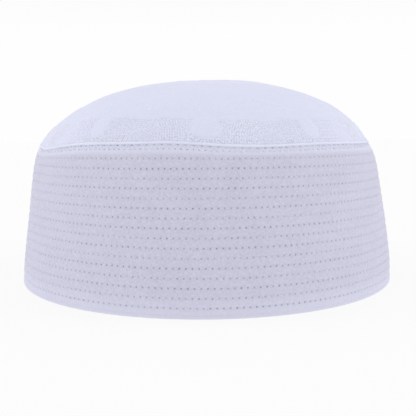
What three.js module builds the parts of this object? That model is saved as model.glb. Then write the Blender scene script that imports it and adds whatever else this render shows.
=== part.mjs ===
// A white cotton cap in three sewn pieces: a tall oval band quilted in level rows, a thin rolled
// welt along the band's top edge, and a low domed crown whose edge is tucked inside the band.
// Millimetres, +Z up. The cap stands on the foot of its band, with the origin at the foot's centre.
// The front faces -Y, the longer way of the oval runs front to back, and +X is on the right.
import * as THREE from "three";

// The oval of the rim, measured to the outer face of the band at its foot.
const RIM_HALF_WIDTH = 90;
const RIM_HALF_LENGTH = 99;

// The band.
const BAND_HEIGHT = 64;
const BAND_LEAN = 9.8;
const BAND_WALL = 2.4;
const BAND_EDGE_WALL = 1.4;
const EDGE_THINNING_HEIGHT = 9;

// The folded hem at the band's foot, rounded outside and inside.
const HEM_ROUND = 0.8;
const HEM_INNER_ROUND = 0.5;

// The quilting: level rows of stitches, with the cloth swelling a little between two rows. The
// lowest row is measured up from the foot, the highest one down from the band's top edge.
const LOWEST_ROW = 4.2;
const HIGHEST_ROW_DROP = 4.45;
const ROW_PITCH = 3.69;
const QUILT_DEPTH = 0.35;

// Two rows of edge stitching close under the band's top edge.
const EDGE_ROW_DROP = 0.6;
const EDGE_ROW_PITCH = 1.1;

// The rolled welt that lies along the band's top edge.
const WELT_WIDTH = 1.4;
const WELT_THICKNESS = 1.3;

// The crown. Its cloth swells out a little over the welt, and its edge is tucked inside the band.
const CROWN_RISE = 28.6;
const CROWN_WALL = 1.1;
const CROWN_OVERHANG = 0.9;
const TUCK_DEPTH = 6;

// What is left free between two pieces that touch.
const CLEARANCE = 0.3;

// The scale of the seam line's rise and fall, and of the crown's swells and dents.
const SEAM_WAVE = 2.2;
const CROWN_WAVE = 1.1;

// How far the seam stands aside of the rim, towards -X: the soft cap leans a little.
const SIDE_LEAN = 1.1;

// How far the band is pressed in or stands out half way up its sides.
const SIDE_PUSH = 0.9;

// Steps of the mesh.
const STEPS_ROUND = 60;
const CROWN_STEPS = 11;
const INNER_STEPS = 6;
const HEM_STEPS = 2;
const WELT_SIDES = 8;

// The outer face of the band, from the foot up. height is a share of the band's height, inset a
// share of its lean: nearly upright low down, then rolling in to meet the crown.
const BAND_SECTIONS = [
  { height: 0.0, inset: 0.0 },
  { height: 0.14, inset: 0.03 },
  { height: 0.28, inset: 0.12 },
  { height: 0.42, inset: 0.25 },
  { height: 0.56, inset: 0.38 },
  { height: 0.7, inset: 0.5 },
  { height: 0.81, inset: 0.6 },
  { height: 0.89, inset: 0.69 },
  { height: 0.95, inset: 0.81 },
  { height: 1.0, inset: 1.0 },
];

// The outer face of the crown, from the welt up. rise is a share of the crown's rise, reach a
// share of its half width over the welt.
const CROWN_SECTIONS = [
  { rise: 0.0, reach: 1.0 },
  { rise: 0.12, reach: 0.976 },
  { rise: 0.28, reach: 0.926 },
  { rise: 0.45, reach: 0.85 },
  { rise: 0.62, reach: 0.745 },
  { rise: 0.78, reach: 0.608 },
  { rise: 0.9, reach: 0.434 },
  { rise: 0.97, reach: 0.26 },
  { rise: 0.995, reach: 0.12 },
  { rise: 1.0, reach: 0.0 },
];

// Where the seam line leaves the level: degrees from the front towards +X, spread in degrees, and
// the rise as a share of SEAM_WAVE.
const SEAM_WAVES = [
  { at: -68, spread: 16, rise: -1.3 },
  { at: -34, spread: 20, rise: 0.7 },
  { at: -9, spread: 10, rise: 0.2 },
  { at: 16, spread: 14, rise: -0.4 },
  { at: 48, spread: 14, rise: 0.5 },
  { at: 118, spread: 22, rise: -0.3 },
  { at: 170, spread: 24, rise: 0.25 },
  { at: -128, spread: 20, rise: 0.3 },
];

// The share of the band's height below which its rows of stitches stay level.
const LEVEL_SHARE = 0.6;

// Where the crown leaves its smooth dome: across and along as shares of its half width and half
// length, spread likewise, and rise as a share of CROWN_WAVE.
const CROWN_WAVES = [
  { across: -0.84, along: 0.0, spread: 0.24, rise: -0.4 },
  { across: -0.5, along: -0.1, spread: 0.24, rise: 0.35 },
  { across: -0.08, along: 0.0, spread: 0.24, rise: 0.3 },
  { across: -0.1, along: -0.5, spread: 0.2, rise: -0.4 },
  { across: 0.27, along: 0.0, spread: 0.24, rise: 0.9 },
  { across: 0.62, along: 0.05, spread: 0.26, rise: 0.6 },
  { across: 0.9, along: 0.0, spread: 0.18, rise: 2.2 },
  { across: 0.1, along: 0.5, spread: 0.3, rise: -0.4 },
];

// Where the band's sides are pressed in or stand out: degrees from the front towards +X, spread in
// degrees, and the push outwards as a share of SIDE_PUSH.
const SIDE_DENTS = [
  { at: -90, spread: 45, push: -1.0 },
  { at: 90, spread: 45, push: 0.8 },
];

// How sharply the waves fade over the crown: the seam's towards its middle, its own towards the welt.
const SEAM_WAVE_FADE = 3;
const CROWN_WAVE_FADE = 6;

// What follows from the sizes above.
const lengthExtra = RIM_HALF_LENGTH - RIM_HALF_WIDTH;
const rowSpan = BAND_HEIGHT - LOWEST_ROW - HIGHEST_ROW_DROP;
const rowSpaces = Math.round(rowSpan / ROW_PITCH);
const weltHeight = BAND_HEIGHT + CLEARANCE + WELT_THICKNESS / 2;
const crownStart = weltHeight + WELT_THICKNESS / 2 + CLEARANCE;
const tuckHeights = [0, 0.5, 1].map((share) => BAND_HEIGHT - TUCK_DEPTH * share);

// The band's inset at any height, as a smooth curve through its sections.
const insetCurve = new THREE.CubicInterpolant(
  BAND_SECTIONS.map((row) => row.height * BAND_HEIGHT),
  BAND_SECTIONS.map((row) => row.inset * BAND_LEAN),
  1,
);

// Half width of the band's smooth outer face at height z.
function bandFace(z) {
  return RIM_HALF_WIDTH - insetCurve.evaluate(z)[0];
}

// Half width of its inner face. The wall thins towards the top edge, where its inner layers stop.
function bandInside(z) {
  const share = THREE.MathUtils.smoothstep(z, BAND_HEIGHT - EDGE_THINNING_HEIGHT, BAND_HEIGHT);
  return bandFace(z) - THREE.MathUtils.lerp(BAND_WALL, BAND_EDGE_WALL, share);
}

const weltHalfWidth = bandFace(BAND_HEIGHT) - BAND_EDGE_WALL / 2;
const neckHalfWidth = weltHalfWidth - WELT_WIDTH / 2 - CLEARANCE;
const crownHalfWidth = neckHalfWidth + CROWN_OVERHANG;

// The sum of a table's smooth humps at an angle from the front, taking its column named value.
function aroundSum(table, value, angle) {
  const degrees = THREE.MathUtils.radToDeg(angle);
  let total = 0;
  for (const row of table) {
    const away = THREE.MathUtils.euclideanModulo(degrees - row.at + 180, 360) - 180;
    total += row[value] * Math.exp(-((away / row.spread) ** 2));
  }
  return total;
}

// Rise of the crown at a place on it, given as shares of its half width and half length.
function crownWave(across, along) {
  let total = 0;
  for (const wave of CROWN_WAVES) {
    const away = Math.hypot(across - wave.across, along - wave.along);
    total += wave.rise * Math.exp(-((away / wave.spread) ** 2));
  }
  return CROWN_WAVE * total;
}

// How much of the seam's wave a point follows: none low on the band, all of it at the seam, and
// less again towards the middle of the crown.
function seamShare(reach, z) {
  if (z > crownStart) {
    return reach ** SEAM_WAVE_FADE;
  }
  return THREE.MathUtils.smoothstep(z, LEVEL_SHARE * BAND_HEIGHT, BAND_HEIGHT);
}

// Turns a round lathed shape into the cap's oval, standing up along Z, with its lean and waves.
function toOval(geometry, isCrown) {
  const position = geometry.getAttribute("position");
  for (let i = 0; i < position.count; i += 1) {
    const turn = Math.atan2(position.getX(i), position.getZ(i));
    const halfWidth = Math.hypot(position.getX(i), position.getZ(i));
    const reach = Math.min(halfWidth / crownHalfWidth, 1);
    const halfLength = halfWidth + lengthExtra * Math.min(halfWidth / neckHalfWidth, 1);
    const across = Math.sin(turn);
    const along = -Math.cos(turn);
    const level = position.getY(i);
    const upBand = Math.min(level / BAND_HEIGHT, 1);
    const lean = SIDE_LEAN * (level > crownStart ? reach : upBand);
    const dent = SIDE_PUSH * aroundSum(SIDE_DENTS, "push", turn) * Math.sin(Math.PI * upBand);
    let rise = SEAM_WAVE * aroundSum(SEAM_WAVES, "rise", turn) * seamShare(reach, level);
    if (isCrown) {
      rise += crownWave(reach * across, reach * along) * (1 - reach ** CROWN_WAVE_FADE);
    }
    const x = (halfWidth + dent) * across - lean;
    const y = (halfLength + dent) * along;
    position.setXYZ(i, x, y, level + rise);
  }
  geometry.deleteAttribute("normal");
  geometry.deleteAttribute("uv");
  geometry.computeVertexNormals();
  return geometry;
}

// Turns an outline of half widths and heights round the oval.
function lathe(outline, isCrown = false) {
  return toOval(new THREE.LatheGeometry(outline, STEPS_ROUND), isCrown);
}

// Part of a rounded section: points of an ellipse from one angle to another, in degrees.
function arc(r, z, acrossRadius, upRadius, from, to, steps) {
  const points = [];
  for (let step = 0; step <= steps; step += 1) {
    const turn = THREE.MathUtils.degToRad(THREE.MathUtils.lerp(from, to, step / steps));
    points.push(new THREE.Vector2(r + acrossRadius * Math.cos(turn), z + upRadius * Math.sin(turn)));
  }
  return points;
}

// Heights of the rows of stitches, from the foot up.
function stitchRows() {
  const rows = [];
  for (let space = 0; space <= rowSpaces; space += 1) {
    rows.push(LOWEST_ROW + (space * rowSpan) / rowSpaces);
  }
  rows.push(BAND_HEIGHT - EDGE_ROW_DROP - EDGE_ROW_PITCH, BAND_HEIGHT - EDGE_ROW_DROP);
  return rows;
}

// The band: a rounded hem, the quilted outer face, the top edge and the plain inner face.
function makeBand() {
  const footOuter = bandFace(0) - HEM_ROUND;
  const footInner = bandInside(0) + HEM_INNER_ROUND;
  const outline = arc(footOuter, HEM_ROUND, HEM_ROUND, HEM_ROUND, -90, 0, HEM_STEPS);
  const rows = stitchRows();
  rows.forEach((row, index) => {
    const above = rows[index + 1] ?? BAND_HEIGHT;
    const crest = (row + above) / 2;
    outline.push(new THREE.Vector2(bandFace(row) - QUILT_DEPTH, row));
    outline.push(new THREE.Vector2(bandFace(crest), crest));
  });
  outline.push(new THREE.Vector2(bandFace(BAND_HEIGHT), BAND_HEIGHT));
  for (const z of tuckHeights) {
    outline.push(new THREE.Vector2(bandInside(z), z));
  }
  const innerTop = BAND_HEIGHT - TUCK_DEPTH;
  for (let step = 1; step < INNER_STEPS; step += 1) {
    const z = THREE.MathUtils.lerp(innerTop, HEM_INNER_ROUND, step / INNER_STEPS);
    outline.push(new THREE.Vector2(bandInside(z), z));
  }
  const round = HEM_INNER_ROUND;
  outline.push(...arc(footInner, round, round, round, 180, 270, HEM_STEPS));
  outline.push(outline[0]);
  return lathe(outline);
}

// The welt: a thin roll along the band's top edge.
function makeWelt() {
  const outline = arc(weltHalfWidth, weltHeight, WELT_WIDTH / 2, WELT_THICKNESS / 2, 0, 360, WELT_SIDES);
  return lathe(outline);
}

// The crown: a domed shell of cloth, from the middle of its underside out to its tucked edge, and
// back over the welt and up to the middle of its top.
function makeCrown() {
  const domeCurve = new THREE.SplineCurve(
    CROWN_SECTIONS.map(
      (row) => new THREE.Vector2(row.reach * crownHalfWidth, crownStart + row.rise * CROWN_RISE),
    ),
  );
  const dome = domeCurve.getSpacedPoints(CROWN_STEPS);
  const edge = tuckHeights.map((z) => new THREE.Vector2(bandInside(z) - CLEARANCE, z)).reverse();
  edge.push(new THREE.Vector2(neckHalfWidth, weltHeight));
  edge.push(new THREE.Vector2(neckHalfWidth, crownStart));
  const under = dome.map((point, step) => {
    const before = dome[Math.max(step - 1, 0)];
    const after = dome[Math.min(step + 1, CROWN_STEPS)];
    const along = after.clone().sub(before).setLength(CROWN_WALL);
    return new THREE.Vector2(point.x - along.y, point.y + along.x);
  });
  under[CROWN_STEPS].set(0, dome[CROWN_STEPS].y - CROWN_WALL);
  dome[CROWN_STEPS].setX(0);
  const edgeInside = edge.map((point) => new THREE.Vector2(point.x - CROWN_WALL, point.y));
  const outline = [...under.reverse(), ...edgeInside.reverse(), ...edge, ...dome];
  return lathe(outline, true);
}

// A named piece of matte cloth.
function cloth(name, geometry, color) {
  const material = new THREE.MeshStandardMaterial({ color, roughness: 0.9, metalness: 0 });
  const mesh = new THREE.Mesh(geometry, material);
  mesh.name = name;
  return mesh;
}

const cap = new THREE.Group();
cap.add(cloth("band", makeBand(), "#e3e4f0"));
cap.add(cloth("seam_welt", makeWelt(), "#e9eaf5"));
cap.add(cloth("crown", makeCrown(), "#e7e9f6"));

export default cap;
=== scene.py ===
"""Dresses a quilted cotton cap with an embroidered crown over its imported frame.

Lengths are in millimetres inside the classes, and become metres where a mesh is made. Turns run
round the cap from the middle of its front towards +X.
"""

import logging
import math
from dataclasses import dataclass, field
from enum import Enum

import bpy
import numpy as np
from mathutils import Matrix, Vector


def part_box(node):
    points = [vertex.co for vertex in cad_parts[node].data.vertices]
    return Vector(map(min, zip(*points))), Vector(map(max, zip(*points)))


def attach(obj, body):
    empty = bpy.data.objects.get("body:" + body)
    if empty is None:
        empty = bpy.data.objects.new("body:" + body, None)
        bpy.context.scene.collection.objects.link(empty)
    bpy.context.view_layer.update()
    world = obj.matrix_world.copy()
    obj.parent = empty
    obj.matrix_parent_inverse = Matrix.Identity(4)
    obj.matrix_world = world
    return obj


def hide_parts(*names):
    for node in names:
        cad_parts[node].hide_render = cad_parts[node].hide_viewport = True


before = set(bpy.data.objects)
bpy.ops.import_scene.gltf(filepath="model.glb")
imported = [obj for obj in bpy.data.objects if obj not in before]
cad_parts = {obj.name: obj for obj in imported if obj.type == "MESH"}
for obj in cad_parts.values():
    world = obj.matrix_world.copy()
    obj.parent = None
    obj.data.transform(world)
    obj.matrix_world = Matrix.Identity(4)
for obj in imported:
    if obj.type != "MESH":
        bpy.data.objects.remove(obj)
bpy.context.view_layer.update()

MM = 0.001
SEED = 11
BODY = "root"
STITCH_MAP = "stitching"
WEAVE_MAP = "weave"
# Real threads lie about 0.35 mm apart, too fine to show, so their grain is drawn 0.9 mm wide. The
# number counts its changes in a metre.
DRAWN_GRAIN = 1100.0
log = logging.getLogger("cap")


class Zone(Enum):
    """Kinds of surface on the crown's outer face, by how strong their painted hole shade is."""

    PLAIN = 0.0
    FILLED = 0.5
    STITCHED = 1.0


@dataclass(frozen=True)
class RowLook:
    """How one kind of stitched row looks.

    Args:
        valley: Depth of its valley in millimetres.
        shade_strength: How dark the painted shade in its needle holes is, as a share.
        mean: The share of that shade that the holes have on average.
        drift: How far they change slowly round the band.
        scatter: How far they differ from one to the next.
    """

    valley: float
    shade_strength: float
    mean: float
    drift: float
    scatter: float


class Row(Enum):
    """The kinds of stitched row on the band."""

    TIGHT = RowLook(0.32, 0.48, 0.85, 0.08, 0.5)
    LOOSE = RowLook(0.24, 0.34, 0.8, 0.14, 0.9)
    LOW_EDGE = RowLook(0.06, 0.5, 0.75, 0.15, 0.5)
    HIGH_EDGE = RowLook(0.06, 0.62, 0.75, 0.15, 0.5)


# The shape of the cap


@dataclass(frozen=True)
class Hump:
    """One smooth rise or dent along the seam or on the band's sides.

    Args:
        at: Its middle, in degrees from the front towards +X.
        spread: How far it reaches to each side, in degrees.
        height: Its height, as a share of its table's scale.
    """

    at: float
    spread: float
    height: float


@dataclass(frozen=True)
class Swell:
    """One place where the crown leaves its smooth dome, as shares of its half width and length."""

    across: float
    along: float
    spread: float
    height: float


SOLID_HUMPS = (
    Hump(-68, 16, -1.3),
    Hump(-34, 20, 0.7),
    Hump(-9, 10, 0.2),
    Hump(16, 14, -0.4),
    Hump(48, 14, 0.5),
    Hump(118, 22, -0.3),
    Hump(170, 24, 0.25),
    Hump(-128, 20, 0.3),
)
# The sewn seam wanders a little from the line where the solids meet.
SEAM_HUMPS = (
    Hump(-60, 15, -0.75),
    Hump(-30, 16, 0.3),
    Hump(-9, 10, 0.36),
    Hump(16, 14, -0.36),
    Hump(118, 22, -0.3),
    Hump(170, 24, 0.25),
    Hump(-128, 20, 0.3),
)
SIDE_HUMPS = (Hump(-90, 45, -1.0), Hump(90, 45, 0.8))
CROWN_SWELLS = (
    Swell(-0.84, 0.0, 0.24, -0.4),
    Swell(-0.5, -0.1, 0.24, 0.35),
    Swell(-0.08, 0.0, 0.24, 0.3),
    Swell(-0.1, -0.5, 0.2, -0.4),
    Swell(0.27, 0.0, 0.24, 0.9),
    Swell(0.62, 0.05, 0.26, 0.6),
    Swell(0.9, 0.0, 0.18, 2.2),
    Swell(0.1, 0.5, 0.3, -0.4),
)
# The outlines of band and crown, as shares of their height and of their lean or width.
BAND_SECTIONS = ((0, 0), (0.14, 0.03), (0.28, 0.12), (0.42, 0.25), (0.56, 0.38), (0.7, 0.5))
BAND_SECTIONS += ((0.81, 0.6), (0.89, 0.69), (0.95, 0.81), (1, 1))
CROWN_SECTIONS = ((0, 1), (0.12, 0.976), (0.28, 0.926), (0.45, 0.85), (0.62, 0.745))
CROWN_SECTIONS += ((0.78, 0.608), (0.9, 0.434), (0.97, 0.26), (0.995, 0.12), (1, 0))


def smoothstep(value: np.ndarray, low: float, high: float) -> np.ndarray:
    """Returns 0 below low, 1 above high and a smooth rise between them."""
    share = np.clip((np.asarray(value, float) - low) / (high - low), 0, 1)
    return share * share * (3 - 2 * share)


def smooth_curve(at: np.ndarray, knots: np.ndarray, values: np.ndarray) -> np.ndarray:
    """Runs a smooth curve through points.

    Args:
        at: Where the curve is wanted.
        knots: Rising places of the points.
        values: Their values.

    Returns:
        The curve's value at each place.
    """
    slopes = np.empty(len(knots))
    slopes[1:-1] = (values[2:] - values[:-2]) / (knots[2:] - knots[:-2])
    slopes[0] = (values[1] - values[0]) / (knots[1] - knots[0])
    slopes[-1] = (values[-1] - values[-2]) / (knots[-1] - knots[-2])
    at = np.clip(np.asarray(at, float), knots[0], knots[-1])
    left = np.clip(np.searchsorted(knots, at, side="right") - 1, 0, len(knots) - 2)
    step = knots[left + 1] - knots[left]
    t = (at - knots[left]) / step
    return (
        values[left] * (2 * t**3 - 3 * t**2 + 1)
        + slopes[left] * step * (t**3 - 2 * t**2 + t)
        + values[left + 1] * (3 * t**2 - 2 * t**3)
        + slopes[left + 1] * step * (t**3 - t**2)
    )


def hump_sum(humps: tuple[Hump, ...], turn: np.ndarray) -> np.ndarray:
    """Adds up a table's humps.

    Args:
        humps: The table.
        turn: Turns round the cap, in radians.

    Returns:
        The sum at each turn.
    """
    total = np.zeros(np.shape(turn))
    for hump in humps:
        away = (np.degrees(turn) - hump.at + 180) % 360 - 180
        total = total + hump.height * np.exp(-((away / hump.spread) ** 2))
    return total


@dataclass(frozen=True)
class CapForm:
    """The oval form that the band, the welt and the crown share, with the solids' own sizes."""

    rim_half_width: float
    rim_half_length: float
    band_height: float = 64.0
    band_lean: float = 9.8
    band_wall: float = 2.4
    edge_wall: float = 1.4
    edge_thinning: float = 9.0
    crown_rise: float = 28.6
    crown_wall: float = 1.1
    crown_overhang: float = 0.9
    crown_drop: float = 0.6
    tuck_depth: float = 6.0
    clearance: float = 0.3
    welt_width: float = 1.4
    welt_thickness: float = 1.3
    # How the cap departs from an even oval: it leans to one side, its sides are pushed in and
    # out, and its seam and crown wave.
    side_lean: float = 1.1
    side_push: float = 0.9
    seam_wave: float = 2.2
    seam_slope: float = 0.5
    crown_wave: float = 1.1
    # The share of the band's height from which it waves with the seam.
    level_share: float = 0.6

    @property
    def welt_height(self) -> float:
        """Height of the welt's middle."""
        return self.band_height + self.clearance + self.welt_thickness / 2

    @property
    def crown_start(self) -> float:
        """Height at which the crown's dome starts."""
        return self.welt_height + self.welt_thickness / 2 + self.clearance

    @property
    def welt_half_width(self) -> float:
        """Half width of the welt's middle line."""
        return float(self.band_face(self.band_height)) - self.edge_wall / 2

    @property
    def neck_half_width(self) -> float:
        """Half width of the crown's cloth where it passes inside the welt."""
        return self.welt_half_width - self.welt_width / 2 - self.clearance

    @property
    def crown_half_width(self) -> float:
        """Half width of the crown at its foot."""
        return self.neck_half_width + self.crown_overhang

    def band_face(self, height: np.ndarray) -> np.ndarray:
        """Returns the half width of the band's smooth outer face at a height."""
        up, lean = np.array(BAND_SECTIONS).T * [[self.band_height], [self.band_lean]]
        return self.rim_half_width - smooth_curve(height, up, lean)

    def band_inside(self, height: np.ndarray) -> np.ndarray:
        """Returns the half width of the band's inner face at a height."""
        thin = smoothstep(height, self.band_height - self.edge_thinning, self.band_height)
        return self.band_face(height) - (self.band_wall + (self.edge_wall - self.band_wall) * thin)

    @property
    def dome_foot(self) -> float:
        """Height of the dressed dome's foot, a little lower than the solid's, behind the welt."""
        return self.crown_start - self.crown_drop

    def dome(self, count: int = 1200) -> np.ndarray:
        """Returns the dome's outline from the seam to its middle.

        Args:
            count: How many points.

        Returns:
            Rows of distance along the cloth, half width and height.
        """
        sections = np.array(CROWN_SECTIONS)
        knots = np.arange(len(sections), dtype=float)
        t = np.linspace(0, len(sections) - 1, count)
        half = smooth_curve(t, knots, sections[:, 1] * self.crown_half_width)
        rise = self.crown_rise + self.crown_drop
        level = smooth_curve(t, knots, self.dome_foot + sections[:, 0] * rise)
        half[-1] = 0
        steps = np.hypot(np.diff(half), np.diff(level))
        return np.column_stack([np.concatenate([[0], np.cumsum(steps)]), np.abs(half), level])

    def oval(self, half: np.ndarray, turn: np.ndarray, level: np.ndarray, crown: bool) -> np.ndarray:
        """Turns a round shape into the cap's leaning, waving oval.

        Args:
            half: Half widths.
            turn: Turns round the cap, in radians.
            level: Heights before the waves.
            crown: Whether the points are on the crown.

        Returns:
            Points in metres, with x, y and z along the last axis.
        """
        half, turn, level = np.broadcast_arrays(half, turn, level)
        reach = np.minimum(half / self.crown_half_width, 1)
        extra = self.rim_half_length - self.rim_half_width
        length = half + extra * np.minimum(half / self.neck_half_width, 1)
        up_band = np.clip(level / self.band_height, 0, 1)
        above = level > self.crown_start
        lean = self.side_lean * np.where(above, reach, up_band)
        dent = self.side_push * hump_sum(SIDE_HUMPS, turn) * np.sin(np.pi * up_band)
        low = smoothstep(level, self.level_share * self.band_height, self.band_height)
        share = np.where(above, smoothstep(reach, 0.88, 1), low)
        seam = self.seam_wave * hump_sum(SEAM_HUMPS, turn) * share
        solid = self.seam_wave * hump_sum(SOLID_HUMPS, turn)
        rise = seam + np.where(above, solid * reach**3 * (1 - share), 0)
        # Where the seam runs higher than the solids' edge, the cloth leans in with it.
        inward = self.seam_slope * (seam - solid * share)
        across = np.sin(turn)
        along = -np.cos(turn)
        if crown:
            swell = np.zeros(np.shape(half))
            for one in CROWN_SWELLS:
                away = np.hypot(reach * across - one.across, reach * along - one.along)
                swell = swell + one.height * np.exp(-((away / one.spread) ** 2))
            rise = rise + self.crown_wave * swell * (1 - reach**6)
        x = (half + dent - inward) * across - lean
        y = (length + dent - inward) * along
        return np.stack([x, y, level + rise], axis=-1) * MM


# Helpers for meshes and nodes


def linear(colour: str) -> tuple[float, float, float, float]:
    """Turns an sRGB hex colour, such as #CBCDDF, into linear red, green, blue and alpha."""
    parts = [int(colour[i : i + 2], 16) / 255 for i in (1, 3, 5)]
    return (*[p / 12.92 if p <= 0.04045 else ((p + 0.055) / 1.055) ** 2.4 for p in parts], 1.0)


def add_node(
    tree: bpy.types.NodeTree,
    kind: str,
    inputs: dict[str | int, object] | None = None,
    **settings: object,
) -> bpy.types.Node:
    """Adds one node with its settings and links.

    Args:
        tree: The node tree.
        kind: The node's type name.
        inputs: For each input, by name or number, a value, or the socket or the node that feeds it.
        settings: Values for the node's own properties.

    Returns:
        The node.
    """
    node = tree.nodes.new(kind)
    for name, value in settings.items():
        setattr(node, name, value)
    for key, value in (inputs or {}).items():
        if isinstance(value, bpy.types.Node):
            value = value.outputs[0]
        if isinstance(value, bpy.types.NodeSocket):
            tree.links.new(value, node.inputs[key])
        else:
            node.inputs[key].default_value = value
    return node


def finished(name: str, mesh: bpy.types.Mesh, material: bpy.types.Material) -> bpy.types.Object:
    """Makes a smooth-shaded piece at the origin.

    Args:
        name: The piece's name.
        mesh: Its mesh, in place.
        material: Its only material.

    Returns:
        The new object.
    """
    piece = bpy.data.objects.new(name, mesh)
    bpy.context.scene.collection.objects.link(piece)
    mesh.materials.clear()
    mesh.materials.append(material)
    mesh.polygons.foreach_set("use_smooth", [True] * len(mesh.polygons))
    mesh.update()
    log.info("%s: %d faces", name, len(mesh.polygons))
    return piece


@dataclass
class Rings:
    """Rings round the cap, laid one after the other, from which one closed mesh is made.

    Args:
        closing: How far the cloth runs from the last ring on to the first, in millimetres, or
            None where the rings end in two poles.
        poles: The two end points.
        points: The places of the rings laid so far.
        maps: Their places on each UV map.
        values: The numbers kept with their points.
    """

    closing: float | None = None
    poles: list[np.ndarray] = field(default_factory=list)
    points: list[np.ndarray] = field(default_factory=list)
    maps: dict[str, list[np.ndarray]] = field(default_factory=dict)
    values: dict[str, list[np.ndarray]] = field(default_factory=dict)

    def lay(
        self,
        points: np.ndarray,
        edge: np.ndarray,
        ups: dict[str, tuple[float, float]],
        **values: float | np.ndarray,
    ) -> None:
        """Lays the next ring.

        Args:
            points: Its places in metres.
            edge: How far round each column starts, with one more for the end of the last one.
            ups: For each UV map, a factor for the edge and how far up the map the ring lies.
            values: Numbers kept with the points, such as how dark they look.
        """
        self.points.append(points)
        for label, (factor, up) in ups.items():
            row = np.stack([edge * factor, np.full(len(edge), up)], axis=1)
            self.maps.setdefault(label, []).append(row)
        for label, value in values.items():
            self.values.setdefault(label, []).append(np.broadcast_to(value, len(points)))

    def mesh(self, name: str) -> bpy.types.Mesh:
        """Builds the mesh with its UV maps and its point values.

        Args:
            name: The mesh's name.

        Returns:
            The mesh, with faces that point outwards.
        """
        grid = np.array(self.points)
        rings, columns = grid.shape[:2]
        lower = np.arange(rings if self.closing else rings - 1)
        ring, column = (a.ravel() for a in np.meshgrid(lower, np.arange(columns), indexing="ij"))
        above = (ring + 1) % rings
        beside = (column + 1) % columns
        corner_rings = np.stack([ring, ring, above, above], axis=1)
        corner_columns = np.stack([column, beside, beside, column], axis=1)
        polygons = (corner_rings * columns + corner_columns).tolist()
        map_columns = np.stack([column, column + 1, column + 1, column], axis=1)
        map_rings = np.stack([ring, ring, ring + 1, ring + 1], axis=1)
        places = np.vstack([grid.reshape(-1, 3), *self.poles])
        if self.poles:
            around = np.arange(columns)
            beside = (around + 1) % columns
            top = (rings - 1) * columns
            first, last = (np.full(columns, len(places) - back) for back in (2, 1))
            polygons += np.stack([first, beside, around], axis=1).tolist()
            polygons += np.stack([top + around, top + beside, last], axis=1).tolist()
        mesh = bpy.data.meshes.new(name)
        mesh.from_pydata(places.tolist(), [], polygons)
        for label, rows in self.maps.items():
            rows = np.array([*rows, rows[-1] + (0, self.closing or 0)])
            corners = [rows[map_rings, map_columns].reshape(-1, 2)]
            for end in (rows[0], rows[-1]) if self.poles else ():
                corners.append(np.stack([end[:-1], end[1:], end[:-1]], axis=1).reshape(-1, 2))
            mesh.uv_layers.new(name=label).data.foreach_set("uv", np.vstack(corners).ravel())
        for label, rows in self.values.items():
            full = np.zeros(len(places))
            full[: len(rows) * columns] = np.concatenate(rows)
            mesh.attributes.new(label, "FLOAT", "POINT").data.foreach_set("value", full)
        return mesh


# Finishes


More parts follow.
